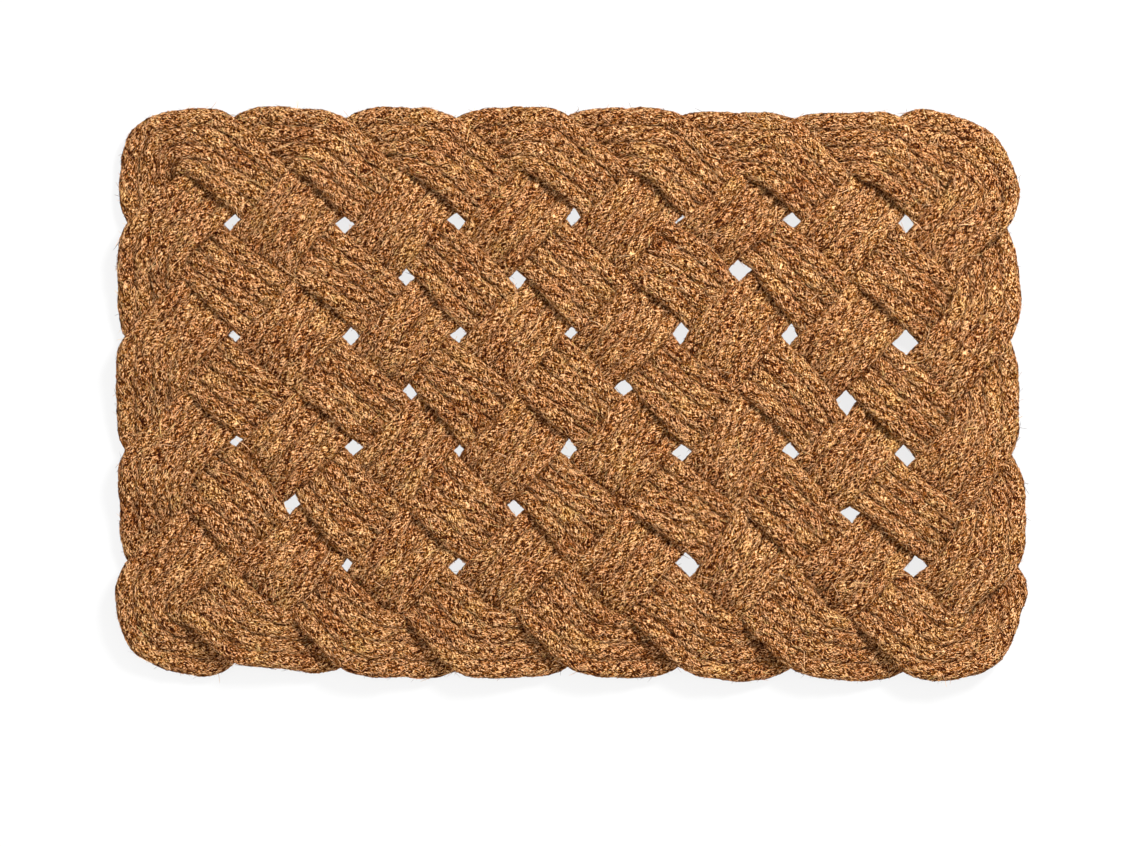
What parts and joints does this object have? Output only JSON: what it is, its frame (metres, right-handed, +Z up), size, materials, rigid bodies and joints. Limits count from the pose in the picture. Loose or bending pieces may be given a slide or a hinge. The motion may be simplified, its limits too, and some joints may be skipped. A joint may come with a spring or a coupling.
{
  "type": "woven rope door mat",
  "caption": "Rectangular door mat of thick natural fibre rope, woven flat in diagonal bands with open holes and a scalloped edge.",
  "frame": {"origin": "centre of the underside, on the surface that the mat lies on", "axes": "+X along the long side, +Y across, +Z up"},
  "size_m": [0.9004, 0.5756, 0.03],
  "materials": {
    "coir_rope": "rough twisted coir fibre, matt",
    "binding_twine": "tightly wound twine, matt"
  },
  "bodies": {
    "root": {"rope_1": "coir_rope", "rope_2": "coir_rope", "rope_3": "coir_rope", "rope_4": "coir_rope", "seizing_1": "binding_twine", "seizing_2": "binding_twine", "seizing_3": "binding_twine", "seizing_4": "binding_twine"}
  },
  "joints": []
}
